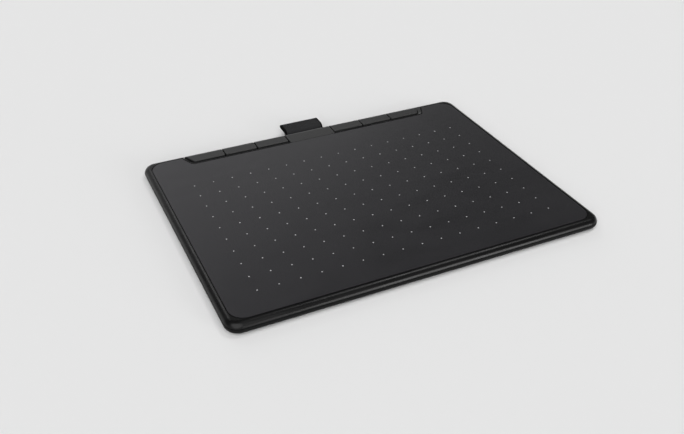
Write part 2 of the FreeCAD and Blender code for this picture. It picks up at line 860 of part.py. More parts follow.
def make_chips():
    def chip(name, x, length, width, height):
        return box(name, x - length / 2, x + length / 2, chip_y - width / 2, chip_y + width / 2,
                   board_high, board_high + height)

    size = s.controller_size
    controller = chip("controller_chip", s.controller_x, size, size, s.controller_height)
    crystal = chip("crystal", s.crystal_x, s.crystal_length, s.crystal_width, s.crystal_height)
    multiplexers = new_body("multiplexer_chips")
    pad(multiplexers, "chips", board_high, board_high + s.multiplexer_height, draw_multiplexers)
    small = new_body("small_components")
    pad(small, "parts", board_high, board_high + s.small_height, draw_small_components)
    return [controller, crystal, multiplexers, small]


def draw_multiplexers(sketch):
    for n in range(MULTIPLEXERS):
        x = s.multiplexer_x + s.multiplexer_pitch * n
        block(sketch, x, chip_y, s.multiplexer_length, s.multiplexer_width)


def draw_small_components(sketch):
    for row in (-1, 1):
        for n in range(SMALL_COMPONENTS):
            x = s.controller_x + s.small_pitch * (n - (SMALL_COMPONENTS - 1) / 2)
            block(sketch, x, chip_y + s.small_row * row, s.small_width, s.small_length)


def make_flex():
    """The flat cable from the underside of the coil board into its connector on the main board."""
    x0, x1 = s.flex_x - s.connector_length / 2, s.flex_x + s.connector_length / 2
    y0 = half_depth - s.board_front + s.connector_front
    y1 = y0 + s.connector_width
    middle = board_high + s.connector_height / 2
    ceiling = board_high + s.connector_height
    connector = new_body("flex_connector")
    pad(connector, "socket", board_high, ceiling, lambda k: rectangle(k, x0, x1, y0, y1))
    slot_end = y1 - s.connector_back_wall
    width = s.flex_width + s.connector_play
    half_slot = s.connector_slot / 2
    pocket(connector, "socket_slot", s.flex_x - width / 2, s.flex_x + width / 2,
           lambda k: rectangle(k, y0 - MARGIN, slot_end, middle - half_slot, middle + half_slot), "YZ_Plane")
    cable = new_body("sensor_flex")
    t = s.flex_thickness
    low, high = middle - t / 2, middle + t / 2
    bend = sensor_y1 + s.flex_drop
    foot = y0 - s.flex_foot
    upper = [(sensor_y1 - s.flex_overlap, sensor_low), (bend, sensor_low), (foot, high), (slot_end - t, high)]
    lower = [(slot_end - t, low), (foot - t / 2, low), (bend - t / 2, sensor_low - t),
             (sensor_y1 - s.flex_overlap, sensor_low - t)]
    pad(cable, "ribbon", s.flex_x - s.flex_width / 2, s.flex_x + s.flex_width / 2,
        lambda k: outline(k, upper + lower), "YZ_Plane")
    return [connector, cable]


# Inlet

def make_usb():
    mouth = half_width - s.usb_recess
    rear = mouth - s.usb_length
    outer = (s.usb_width, s.usb_height)
    shell = new_body("usb_shell")
    pad(shell, "can", rear, mouth, lambda k: stadium(k, port_y, s.port_height, *outer), "YZ_Plane")
    wing = s.usb_width + s.usb_wing * 2
    wing_x = rear + s.usb_wing_length / 2
    pad(shell, "wings", board_high, board_high + s.usb_wing_thickness,
        lambda k: block(k, wing_x, port_y, s.usb_wing_length, wing))
    wall = s.usb_wall * 2
    inner = (s.usb_width - wall, s.usb_height - wall)
    back = rear + s.usb_wall
    pocket(shell, "mouth", back, mouth, lambda k: stadium(k, port_y, s.port_height, *inner), "YZ_Plane")
    tongue = new_body("usb_tongue")
    base_end = back + s.usb_base
    pad(tongue, "base", back, base_end, lambda k: stadium(k, port_y, s.port_height, *inner), "YZ_Plane")
    pad(tongue, "blade", base_end, base_end + s.tongue_length,
        lambda k: block(k, port_y, s.port_height, s.tongue_width, s.tongue_thickness), "YZ_Plane")
    return [shell, tongue]


# Pen loop

def make_pen_loop():
    """Two layers of webbing, joined at the wall, that rise and then run level to their fold."""
    body = new_body("pen_loop")
    bend, rise = s.loop_bend, s.loop_rise
    y0, z0 = half_depth, root_low + loop_half
    crest_y = y0 + bend * sine(rise) * 2
    crest_z = z0 + bend - bend * cosine(rise) * 2
    middle = crest_z + bend
    fold = y0 + s.loop_reach - loop_half

    def on_bend(radius):
        return y0 + radius * sine(rise), z0 + bend - radius * cosine(rise)

    def on_crest(radius, angle):
        return crest_y - radius * sine(angle), crest_z + radius * cosine(angle)

    def draw_strap(sketch):
        outline(sketch, [
            (y0, z0 - loop_half, bend + loop_half),
            (*on_bend(bend + loop_half), loop_half - bend),
            (crest_y, middle - loop_half),
            (fold, middle - loop_half, loop_half),
            (fold + loop_half, middle, loop_half),
            (fold, middle + loop_half),
            (crest_y, middle + loop_half, bend + loop_half),
            (*on_bend(bend - loop_half), loop_half - bend),
            (y0, z0 + loop_half, loop_half),
            (y0 - loop_half, z0, loop_half),
        ])

    def draw_gap(sketch):
        split = rise - s.loop_split
        low, high = bend - s.loop_gap / 2, bend + s.loop_gap / 2
        outline(sketch, [
            (*on_crest(low, split), -low),
            (crest_y, crest_z + low),
            (fold, crest_z + low),
            (fold, crest_z + high),
            (crest_y, crest_z + high, high),
            on_crest(high, split),
        ])

    half = s.loop_width / 2
    pad(body, "strap", -half, half, draw_strap, "YZ_Plane")
    pocket(body, "strap_gap", -half, half, draw_gap, "YZ_Plane")
    return body


def make_loop_anchor():
    half = s.loop_width / 2
    root_front = half_depth - s.root_length
    root_end = half_depth - loop_half - s.slot_clearance
    root = box("loop_root", -half, half, root_front, root_end, root_low, root_high)
    clamp = new_body("loop_clamp")
    places = [(s.clamp_screw_x * side, clamp_y) for side in (-1, 1)]
    clamp_top = root_high + s.clamp_thickness
    size = (s.clamp_length, s.clamp_width)
    pad(clamp, "bar", root_high, clamp_top, lambda k: block(k, as_length(0), clamp_y, *size))
    pocket(clamp, "bar_holes", root_high, clamp_top,
           lambda k: circles(k, places, s.small_screw_radius + s.screw_clearance))
    screws = make_small_screws("loop_clamp_screws", places, clamp_top, root_high - s.clamp_screw_grip)
    return [root, clamp, screws]


# Screws

def make_small_screws(name, places, seat_height, tip_height):
    body = new_body(name)
    pad(body, f"{name}_shanks", tip_height, seat_height, lambda k: circles(k, places, s.small_screw_radius))
    pad(body, f"{name}_heads", seat_height, seat_height + s.small_head_height,
        lambda k: circles(k, places, s.small_head_radius))

    def draw_recesses(sketch):
        for x, y in places:
            cross(sketch, x, y, s.small_head_radius, s.recess_width)

    pocket(body, f"{name}_recesses", seat_height + s.small_head_height / 2, seat_height + s.small_head_height,
           draw_recesses)
    return body


def make_case_screws():
    made = []
    seat_height = underside + s.counterbore_depth
    head_low = seat_height - s.screw_head_height
    for index, (x, y) in enumerate(case_screw_places(), start=1):
        body = new_body(f"case_screw_{index}")
        pad(body, f"case_head_{index}", head_low, seat_height, lambda k: circle(k, x, y, s.screw_head_radius))
        pad(body, f"case_shank_{index}", seat_height, seat_height + s.screw_length,
            lambda k: circle(k, x, y, s.screw_radius))
        pocket(body, f"case_recess_{index}", head_low, head_low + s.recess_depth,
               lambda k: cross(k, x, y, s.recess_length, s.recess_width))
        made.append(body)
    return made


def make_everything():
    parts = [make_bottom_cover(), make_top_cover(), make_main_board(), make_centre_block()]
    parts += make_layers() + make_chips() + make_flex() + make_usb() + make_feet()
    for index, (side, number) in enumerate(KEYS, start=1):
        parts.append(make_key(index, side, number))
        parts += make_switch(index, key_x(side, number))
    parts.append(make_pen_loop())
    parts += make_loop_anchor()
    tip = board_low - s.board_screw_grip
    parts.append(make_small_screws("board_screws", board_screw_places(), board_high, tip))
    return parts + make_case_screws()


def check(parts):
    doc.recompute()
    for item in doc.Objects:
        if "Invalid" in item.State or "Error" in item.State:
            raise RuntimeError(f"{item.Name} failed: {item.State}")
        if item.TypeId in ("PartDesign::Pocket", "PartDesign::SubtractiveLoft"):
            if item.Shape.Volume > item.BaseFeature.Shape.Volume - TOUCH:
                raise RuntimeError(f"{item.Name} cuts nothing")
    for part in parts:
        if part.Shape.isNull() or not part.Shape.isValid():
            raise RuntimeError(f"{part.Label} has no valid shape")


def write(parts):
    os.makedirs("parts", exist_ok=True)
    for part in parts:
        part.Shape.exportStep(os.path.join("parts", f"{part.Label}.step"))
        print(f"{part.Label}: {len(part.Shape.Solids)} solid, {part.Shape.Volume:.1f} mm3")


parts = make_everything()
check(parts)
write(parts)
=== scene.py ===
import json
import math

import bmesh
import bpy
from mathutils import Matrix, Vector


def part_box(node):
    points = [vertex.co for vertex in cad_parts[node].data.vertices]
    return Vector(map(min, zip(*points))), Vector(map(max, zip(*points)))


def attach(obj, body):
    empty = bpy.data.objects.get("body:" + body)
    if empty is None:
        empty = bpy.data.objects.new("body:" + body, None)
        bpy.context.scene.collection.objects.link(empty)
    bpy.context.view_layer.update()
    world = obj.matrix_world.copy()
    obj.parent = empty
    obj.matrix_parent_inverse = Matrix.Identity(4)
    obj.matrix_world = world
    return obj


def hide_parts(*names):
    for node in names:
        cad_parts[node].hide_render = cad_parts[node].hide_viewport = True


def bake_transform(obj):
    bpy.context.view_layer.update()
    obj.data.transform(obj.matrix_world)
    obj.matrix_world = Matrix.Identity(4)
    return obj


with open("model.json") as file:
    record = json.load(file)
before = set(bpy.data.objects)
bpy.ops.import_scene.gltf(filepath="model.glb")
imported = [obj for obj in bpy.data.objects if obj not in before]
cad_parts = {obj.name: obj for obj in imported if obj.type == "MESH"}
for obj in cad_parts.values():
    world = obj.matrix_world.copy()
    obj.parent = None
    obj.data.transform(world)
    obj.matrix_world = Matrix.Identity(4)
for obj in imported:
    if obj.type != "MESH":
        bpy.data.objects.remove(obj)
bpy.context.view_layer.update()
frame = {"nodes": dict(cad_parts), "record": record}  # the tablet's solids, in metres, +Z up
nodes = frame["nodes"]
mm = 0.001
caseMiddle = -7.5 * mm  # the loop stands behind the case, so the frame's middle isn't the case's
print("frame loaded,", len(nodes), "nodes")

# Camera, where the photograph was taken from

viewPoint = {
    "place": (-0.21784, -0.42037 + caseMiddle, 0.31018),
    "turn": (55.553, -0.026, -24.425),  # degrees
    "lens": 42.704,
    "shift": 0.02395,
    "nearest": 0.01,
}


def addCamera():
    data = bpy.data.cameras.new("camera")
    data.lens = viewPoint["lens"]
    data.shift_x = viewPoint["shift"]
    data.clip_start = viewPoint["nearest"]
    camera = bpy.data.objects.new("camera", data)
    camera.location = viewPoint["place"]
    camera.rotation_euler = [math.radians(angle) for angle in viewPoint["turn"]]
    bpy.context.scene.collection.objects.link(camera)
    bpy.context.scene.camera = camera


addCamera()
print("camera placed")


def makePiece(name, mesh, material):  # the object sits at the origin, its place is in its mesh
    data = bpy.data.meshes.new(name)
    mesh.to_mesh(data)
    mesh.free()
    data.materials.append(material)
    piece = bpy.data.objects.new(name, data)
    bpy.context.scene.collection.objects.link(piece)
    return piece


# Building blocks for the materials

def newMaterial(name):
    material = bpy.data.materials.new(name)
    material.use_nodes = True
    tree = material.node_tree
    return material, tree, tree.nodes["Principled BSDF"]


def addNode(tree, kind, values=None, **settings):
    node = tree.nodes.new("ShaderNode" + kind)
    for key, value in settings.items():
        setattr(node, key, value)
    for key, value in (values or {}).items():
        node.inputs[key].default_value = value
    return node


def calculate(tree, operation, first, second=None, third=None, clamp=False):
    node = addNode(tree, "Math", operation=operation, use_clamp=clamp)
    for socket, value in zip(node.inputs, (first, second, third)):
        if value is None:
            continue
        if isinstance(value, (int, float)):
            socket.default_value = value
        else:
            tree.links.new(value, socket)
    return node.outputs[0]


def mixColours(tree, amount, first, second):
    node = addNode(tree, "Mix", data_type="RGBA")
    tree.links.new(amount, node.inputs["Factor"])
    for key, value in (("A", first), ("B", second)):
        socket = next(s for s in node.inputs if s.name == key and s.type == "RGBA")
        if isinstance(value, tuple):
            socket.default_value = (*value, 1)
        else:
            tree.links.new(value, socket)
    return next(s for s in node.outputs if s.type == "RGBA")


def objectPoint(tree):
    return addNode(tree, "TexCoord").outputs["Object"]


def bumpFrom(tree, shader, height, distance):
    bump = addNode(tree, "Bump", {"Strength": 1.0, "Distance": distance})
    tree.links.new(height, bump.inputs["Height"])
    tree.links.new(bump.outputs["Normal"], shader.inputs["Normal"])


def newGroup(name, inputs, outputs):
    group = bpy.data.node_groups.new(name, "ShaderNodeTree")
    for label, kind in inputs:
        group.interface.new_socket(label, in_out="INPUT", socket_type=kind)
    for label, kind in outputs:
        group.interface.new_socket(label, in_out="OUTPUT", socket_type=kind)
    return group, group.nodes.new("NodeGroupInput"), group.nodes.new("NodeGroupOutput")


def useGroup(tree, group, point, values):
    node = tree.nodes.new("ShaderNodeGroup")
    node.node_tree = group
    tree.links.new(point, node.inputs["Point"])
    for key, value in values.items():
        node.inputs[key].default_value = value
    return node


# Shared effects: the texture of a spark-eroded mould, and smears where hands and pens rub

texture = {
    "detail": 3.0,
    "rough": 0.65,
    "fineShare": 0.35,  # of the fine texture in the tone
    "slowScale": 26.0,
    "slowDetail": 4.0,
    "slowRough": 0.55,
}
smears = {
    "turn": 0.6,
    "stretch": 3.2,
    "scale": 17.0,
    "detail": 5.0,
    "distortion": 0.7,
    "from": 0.42,
    "to": 0.7,
    "onPlastic": 0.06,
}


def grainGroup():
    group, start, end = newGroup(
        "grain",
        [("Point", "NodeSocketVector"), ("Scale", "NodeSocketFloat")],
        [("Height", "NodeSocketFloat"), ("Tone", "NodeSocketFloat")],
    )
    fine = addNode(group, "TexNoise", {"Detail": texture["detail"], "Roughness": texture["rough"]})
    group.links.new(start.outputs["Point"], fine.inputs["Vector"])
    group.links.new(start.outputs["Scale"], fine.inputs["Scale"])
    slow = addNode(group, "TexNoise", {"Scale": texture["slowScale"], "Detail": texture["slowDetail"],
                                       "Roughness": texture["slowRough"]})
    group.links.new(start.outputs["Point"], slow.inputs["Vector"])
    share = texture["fineShare"]
    tone = calculate(group, "MULTIPLY_ADD", fine.outputs["Fac"], share, slow.outputs["Fac"])
    group.links.new(fine.outputs["Fac"], end.inputs["Height"])
    group.links.new(calculate(group, "SUBTRACT", tone, share / 2, clamp=True), end.inputs["Tone"])
    return group


def touchGroup():
    group, start, end = newGroup(
        "touch",
        [("Point", "NodeSocketVector"), ("Amount", "NodeSocketFloat")],
        [("Smear", "NodeSocketFloat")],
    )
    stretch = addNode(group, "Mapping", {"Rotation": (0, 0, smears["turn"]),
                                         "Scale": (1.0, smears["stretch"], 1.0)})
    group.links.new(start.outputs["Point"], stretch.inputs["Vector"])
    smear = addNode(group, "TexNoise", {"Scale": smears["scale"], "Detail": smears["detail"],
                                        "Distortion": smears["distortion"]})
    group.links.new(stretch.outputs["Vector"], smear.inputs["Vector"])
    spread = addNode(group, "MapRange", {"From Min": smears["from"], "From Max": smears["to"]},
                     interpolation_type="SMOOTHSTEP")
    group.links.new(smear.outputs["Fac"], spread.inputs["Value"])
    amount = calculate(group, "MULTIPLY", spread.outputs["Result"], start.outputs["Amount"])
    group.links.new(amount, end.inputs["Smear"])
    return group


grain = grainGroup()
touch = touchGroup()


# Moulded plastics and rubber: two grey levels, range of roughness, scale and depth (mm) of the texture

plastics = {
    "case": {
        "dark": 0.0030, "light": 0.0048, "rough": (0.27, 0.33),
        "scale": 3200, "depth": 0.01, "shine": 0.20,
    },
    "case_base": {
        "dark": 0.0035, "light": 0.0060, "rough": (0.42, 0.54),
        "scale": 1900, "depth": 0.03, "shine": 0.08,
    },
    "key_cap": {
        "dark": 0.0130, "light": 0.0180, "rough": (0.42, 0.50),
        "scale": 3200, "depth": 0.02, "shine": 0.45,
    },
    "foot_rubber": {
        "dark": 0.0140, "light": 0.0230, "rough": (0.72, 0.88),
        "scale": 1300, "depth": 0.05, "shine": 0.25,
    },
    "foam": {
        "dark": 0.0090, "light": 0.0300, "rough": (0.86, 0.96),
        "scale": 2600, "depth": 0.20, "shine": 0.10,
    },
    "chip": {
        "dark": 0.0090, "light": 0.0150, "rough": (0.50, 0.62),
        "scale": 5200, "depth": 0.01, "shine": 0.40,
    },
    "connector": {
        "dark": 0.0130, "light": 0.0200, "rough": (0.40, 0.52),
        "scale": 4200, "depth": 0.01, "shine": 0.45,
    },
    "plunger": {
        "dark": 0.5200, "light": 0.6000, "rough": (0.40, 0.52),
        "scale": 4200, "depth": 0.01, "shine": 0.45,
    },
    "ceramic": {
        "dark": 0.2200, "light": 0.3400, "rough": (0.34, 0.50),
        "scale": 6000, "depth": 0.01, "shine": 0.50,
    },
    "adhesive": {
        "dark": 0.5200, "light": 0.6400, "rough": (0.30, 0.44),
        "scale": 1500, "depth": 0.01, "shine": 0.45,
    },
}
coolGrey = (1.0, 1.0, 1.02)
tints = {"plunger": (1.0, 0.99, 0.95), "ceramic": (1.0, 0.80, 0.58), "adhesive": (1.0, 0.97, 0.86)}


def tinted(tint, level):
    return tuple(part * level for part in tint)


def plasticMaterial(name, look):
    material, tree, shader = newMaterial(name)
    tint = tints.get(name, coolGrey)
    point = objectPoint(tree)
    mould = useGroup(tree, grain, point, {"Scale": look["scale"]})
    marks = useGroup(tree, touch, point, {"Amount": smears["onPlastic"]})
    tone = mould.outputs["Tone"]
    colour = mixColours(tree, tone, tinted(tint, look["dark"]), tinted(tint, look["light"]))
    tree.links.new(colour, shader.inputs["Base Color"])
    low, high = look["rough"]
    rough = calculate(tree, "MULTIPLY_ADD", tone, high - low, low)
    tree.links.new(calculate(tree, "SUBTRACT", rough, marks.outputs["Smear"]), shader.inputs["Roughness"])
    shader.inputs["Specular IOR Level"].default_value = look["shine"]
    bumpFrom(tree, shader, mould.outputs["Height"], look["depth"] * mm)
    return material


# Drawing surface: a matt film with its printed dots

surface = {
    "dark": (0.0096, 0.0094, 0.0104),
    "light": (0.0126, 0.0123, 0.0135),
    "dot": (0.52, 0.52, 0.53),
    "dotRadius": 0.43 * mm,
    "dotBlur": 0.08 * mm,
    "dotStep": 13.8 * mm,
    "columns": 16,
    "rows": 10,
    "firstDot": (-103.2 * mm, -72.07 * mm + caseMiddle),
    "rough": (0.34, 0.40),
    "scale": 4200,
    "depth": 0.02 * mm,
    "smear": 0.05,
    "shine": 0.55,
    "glint": (0.95, 0.93, 1.0),  # tint of the film's shine
}


def dotMask(tree, point):
    step = surface["dotStep"]
    x, y = surface["firstDot"]
    moved = addNode(tree, "Mapping", {"Location": (-x / step, -y / step, 0),
                                      "Scale": (1 / step, 1 / step, 0)})
    tree.links.new(point, moved.inputs["Vector"])
    half = addNode(tree, "VectorMath", {1: (0.5, 0.5, 0)}, operation="ADD")
    tree.links.new(moved.outputs["Vector"], half.inputs[0])
    cell = addNode(tree, "VectorMath", operation="FLOOR")
    tree.links.new(half.outputs["Vector"], cell.inputs[0])
    low = addNode(tree, "VectorMath", {1: (0, 0, 0)}, operation="MAXIMUM")
    tree.links.new(cell.outputs["Vector"], low.inputs[0])
    last = (surface["columns"] - 1, surface["rows"] - 1, 0)
    high = addNode(tree, "VectorMath", {1: last}, operation="MINIMUM")
    tree.links.new(low.outputs["Vector"], high.inputs[0])
    gap = addNode(tree, "VectorMath", operation="DISTANCE")
    tree.links.new(moved.outputs["Vector"], gap.inputs[0])
    tree.links.new(high.outputs["Vector"], gap.inputs[1])
    radius, blur = surface["dotRadius"] / step, surface["dotBlur"] / step
    mask = addNode(tree, "MapRange", {"From Min": radius + blur, "From Max": radius - blur},
                   interpolation_type="SMOOTHSTEP")
    tree.links.new(gap.outputs["Value"], mask.inputs["Value"])
    return mask.outputs["Result"]


def surfaceMaterial():
    material, tree, shader = newMaterial("surface")
    point = objectPoint(tree)
    matt = useGroup(tree, grain, point, {"Scale": surface["scale"]})
    marks = useGroup(tree, touch, point, {"Amount": surface["smear"]})
    film = mixColours(tree, matt.outputs["Tone"], surface["dark"], surface["light"])
    tree.links.new(mixColours(tree, dotMask(tree, point), film, surface["dot"]), shader.inputs["Base Color"])
    low, high = surface["rough"]
    rough = calculate(tree, "MULTIPLY_ADD", matt.outputs["Tone"], high - low, low)
    tree.links.new(calculate(tree, "SUBTRACT", rough, marks.outputs["Smear"]), shader.inputs["Roughness"])
    shader.inputs["Specular IOR Level"].default_value = surface["shine"]
    shader.inputs["Specular Tint"].default_value = (*surface["glint"], 1)
    bumpFrom(tree, shader, matt.outputs["Height"], surface["depth"])
    return material


# Metals

metals = {
    "steel": {"tint": (0.56, 0.57, 0.58), "rough": (0.24, 0.38), "streak": (900, 60, 900)},
    "shield": {"tint": (0.50, 0.51, 0.53), "rough": (0.30, 0.48), "streak": (30, 1400, 600)},
    "can": {"tint": (0.66, 0.66, 0.68), "rough": (0.22, 0.32), "streak": (1200, 200, 1200)},
    "screw_steel": {"tint": (0.045, 0.045, 0.048), "rough": (0.34, 0.50), "streak": (1800, 1800, 1800)},
    "gold": {"tint": (0.83, 0.58, 0.22), "rough": (0.20, 0.32), "streak": (900, 4000, 900)},
}
rolled = {"detail": 4.0, "rough": 0.6, "dull": 0.82, "depth": 0.004 * mm}


def metalMaterial(name, look):
    material, tree, shader = newMaterial(name)
    stretch = addNode(tree, "Mapping", {"Scale": look["streak"]})
    tree.links.new(objectPoint(tree), stretch.inputs["Vector"])
    streak = addNode(tree, "TexNoise", {"Scale": 1.0, "Detail": rolled["detail"],
                                        "Roughness": rolled["rough"]})
    tree.links.new(stretch.outputs["Vector"], streak.inputs["Vector"])
    dull = tinted(look["tint"], rolled["dull"])
    tree.links.new(mixColours(tree, streak.outputs["Fac"], dull, look["tint"]), shader.inputs["Base Color"])
    low, high = look["rough"]
    rough = calculate(tree, "MULTIPLY_ADD", streak.outputs["Fac"], high - low, low)
    tree.links.new(rough, shader.inputs["Roughness"])
    shader.inputs["Metallic"].default_value = 1.0
    bumpFrom(tree, shader, streak.outputs["Fac"], rolled["depth"])
    return material


# Circuit boards and the flat cable

board = {
    "mask": (0.010, 0.085, 0.035),
    "copper": (0.022, 0.160, 0.070),
    "film": (0.30, 0.12, 0.022),
    "filmCopper": (0.46, 0.20, 0.045),
    "cell": 1.6 * mm,
    "filmCell": 0.9 * mm,
    "traceWidth": 0.11,  # widths and lengths are shares of a cell
    "traceLength": 3.1,
    "traceStep": 0.62,
    "traceBlur": 0.2,
    "scale": 3000,
    "rough": (0.26, 0.38),
    "depth": 0.02 * mm,
}


def tracedMaterial(name, ground, trace, cell):
    material, tree, shader = newMaterial(name)
    point = objectPoint(tree)
    bricks = addNode(tree, "TexBrick", {"Scale": 1.0, "Mortar Size": board["traceWidth"] * cell,
                                        "Brick Width": board["traceLength"] * cell,
                                        "Row Height": board["traceStep"] * cell,
                                        "Mortar Smooth": board["traceBlur"]})
    tree.links.new(point, bricks.inputs["Vector"])
    lacquer = useGroup(tree, grain, point, {"Scale": board["scale"]})
    tree.links.new(mixColours(tree, bricks.outputs["Fac"], ground, trace), shader.inputs["Base Color"])
    low, high = board["rough"]
    rough = calculate(tree, "MULTIPLY_ADD", lacquer.outputs["Tone"], high - low, low)
    tree.links.new(rough, shader.inputs["Roughness"])
    bumpFrom(tree, shader, bricks.outputs["Fac"], board["depth"])
    return material


# Webbing: lengthwise ribs crossed by slanting picks, on the strap's own flat coordinates; the weave's tops
# are painted lit and its hollows painted in shade, and its edge bands are painted dark as shade

webbing = {
    # the shaded and the lit colour of one black yarn: painted shade in the weave's hollows, painted light on
    # its tops
    "shadedYarn": (0.0125, 0.0125, 0.0130),
    "lit": (0.0350, 0.0350, 0.0365),
    "edge": (0.0008, 0.0008, 0.0009),  # painted shade along the strap's edges, standing for its sides in shade
    "edgeShadeFrom": 14.2 * mm,
    "edgeShadeTo": 14.6 * mm,
    "thread": 0.26 * mm,
    "pick": 0.34 * mm,
    "slant": 0.62,  # of the picks, along per across
    "fuzzScale": 5200.0,
    "fuzzDetail": 3.0,
    "fuzzRough": 0.7,
    "fuzzHeight": 0.4,
    "contrast": 0.75,
    "rough": (0.66, 0.84),
    "depth": 0.07 * mm,
    "sheen": 0.01,
    "sheenRough": 0.5,
    "shine": 0.05,
}


def webbingMaterial():
    material, tree, shader = newMaterial("webbing")
    flat = addNode(tree, "UVMap", uv_map="flat").outputs["UV"]
    parts = addNode(tree, "SeparateXYZ")
    tree.links.new(flat, parts.inputs["Vector"])
    across, along = parts.outputs["X"], parts.outputs["Y"]
    turn = 2 * math.pi
    warp = calculate(tree, "SINE", calculate(tree, "MULTIPLY", across, turn / webbing["thread"]))
    slant = calculate(tree, "ADD", along, calculate(tree, "MULTIPLY", across, webbing["slant"]))
    weft = calculate(tree, "SINE", calculate(tree, "MULTIPLY", slant, turn / webbing["pick"]))
    weave = calculate(tree, "MULTIPLY_ADD", calculate(tree, "MULTIPLY", warp, weft), 0.5, 0.5)
    fuzz = addNode(tree, "TexNoise", {"Scale": webbing["fuzzScale"], "Detail": webbing["fuzzDetail"],
                                      "Roughness": webbing["fuzzRough"]})
    tree.links.new(flat, fuzz.inputs["Vector"])
    height = calculate(tree, "MULTIPLY_ADD", fuzz.outputs["Fac"], webbing["fuzzHeight"], weave)
    tone = calculate(tree, "MULTIPLY", height, webbing["contrast"], clamp=True)
    # painted light and shade: higher weave gets the lit colour, lower weave the shaded one, with some random
    # fuzz tone
    weaveLightAndShade = mixColours(tree, tone, webbing["shadedYarn"], webbing["lit"])
    # painted shade: the bands along the strap's edges are darkened as if their sides lay in shade
    edge = addNode(tree, "MapRange", {"From Min": webbing["edgeShadeFrom"], "From Max": webbing["edgeShadeTo"]},
                   interpolation_type="SMOOTHSTEP")
    tree.links.new(calculate(tree, "ABSOLUTE", across), edge.inputs["Value"])
    colour = mixColours(tree, edge.outputs["Result"], weaveLightAndShade, webbing["edge"])
    tree.links.new(colour, shader.inputs["Base Color"])
    low, high = webbing["rough"]
    rough = calculate(tree, "MULTIPLY_ADD", fuzz.outputs["Fac"], high - low, low)
    tree.links.new(rough, shader.inputs["Roughness"])
    shader.inputs["Sheen Weight"].default_value = webbing["sheen"]
    shader.inputs["Sheen Roughness"].default_value = webbing["sheenRough"]
    shader.inputs["Specular IOR Level"].default_value = webbing["shine"]
    bumpFrom(tree, shader, height, webbing["depth"])
    return material


finishes = {name: plasticMaterial(name, look) for name, look in plastics.items()}
finishes.update({name: metalMaterial(name, look) for name, look in metals.items()})
finishes["surface"] = surfaceMaterial()
finishes["board"] = tracedMaterial("board", board["mask"], board["copper"], board["cell"])
finishes["flex"] = tracedMaterial("flex", board["film"], board["filmCopper"], board["filmCell"])
finishes["webbing"] = webbingMaterial()
print("materials made:", len(finishes))


# Every solid gets the finish of its slot

def dressNodes():
    for part in frame["record"]["subparts"]:
        mesh = nodes[part["node"]].data
        mesh.materials.clear()
        mesh.materials.append(finishes[part["material_slot"]])


dressNodes()
print("solids dressed")


# Pen loop: one strap of webbing, its two ends clamped inside the wall

strap = {
    "width": 31.5 * mm,
    "thickness": 0.92 * mm,
    "layer": 1.0 * mm,  # a layer of webbing with its ribs
    "gap": 0.4 * mm,  # between the layers at the wall
    "rootRun": 8.65 * mm,  # the part under the clamp, where the layers touch
    "rootLength": 12.25 * mm,
    "easeRadius": 8.0 * mm,
    "easeAngle": 12.84,
    "wall": 96.95 * mm + caseMiddle,
    "wallHeight": 3.8 * mm,
    "bend": 4.0 * mm,  # radius of both turns, midway between the layers
    "riseAbove": 57.2,  # degrees, of the upper layer
    "riseBelow": 52.8,
    "reach": 15.0 * mm,
    "hingeStart": 1.0 * mm,
    "hingeEnd": 3.0 * mm,
    "columns": 126,
    "rows": 190,
    "rib": 1.5 * mm,
    "ribHeight": 0.045 * mm,
    "ribShare": 0.6,  # the chevrons have the rest of the height
    "chevron": 1.3 * mm,
    "selvedge": 0.5 * mm,
    "edgeShare": 0.4,  # of the thickness, at the very edge
}


def strapTurns():  # (radius, degrees) for a turn, or (length, None) for a straight run
    bend, half = strap["bend"], (strap["layer"] + strap["gap"]) / 2
    above, below = strap["riseAbove"], strap["riseBelow"]
    opening = 2 * bend * (math.cos(math.radians(below)) - math.cos(math.radians(above)))
    nose = half + opening / 2
    flat = strap["reach"] - nose - strap["layer"] / 2
    flatAbove = flat - 2 * bend * math.sin(math.radians(above))
    flatBelow = flat - 2 * bend * math.sin(math.radians(below))
    ease, easeAngle = strap["easeRadius"], strap["easeAngle"]
    eased = strap["rootRun"] + 2 * ease * math.sin(math.radians(easeAngle))
    return [
        (strap["rootRun"], None), (ease, easeAngle), (ease, -easeAngle), (strap["rootLength"] - eased, None),
        (bend - half, above), (bend + half, -above), (flatAbove, None), (nose, -180),
        (flatBelow, None), (bend - half, below), (bend + half, -below), (strap["rootLength"], None),
    ]


def turnLength(turn):
    size, angle = turn
    return size if angle is None else size * abs(math.radians(angle))


def strapPlace(turns, start, distance):  # y, z and heading at a distance along the strap
    y, z, heading = start
    for size, angle in turns:
        length = turnLength((size, angle))
        share = min(distance / length, 1.0)
        if angle is None:
            y += size * share * math.cos(heading)
            z += size * share * math.sin(heading)
        else:
            side = math.copysign(size, angle)
            after = heading + math.radians(angle) * share
            y += side * (math.sin(after) - math.sin(heading))
            z += side * (math.cos(heading) - math.cos(after))
            heading = after
        distance -= length
        if distance <= 0:
            break
    return y, z, heading


def ribHeight(across, along):
    rib = math.cos(2 * math.pi * across / strap["rib"])
    lean = abs((across / strap["rib"]) % 2 - 1)
    pick = math.cos(2 * math.pi * (along / strap["chevron"] + lean))
    share = strap["ribShare"]
    return strap["ribHeight"] * (share * rib + (1 - share) * pick)


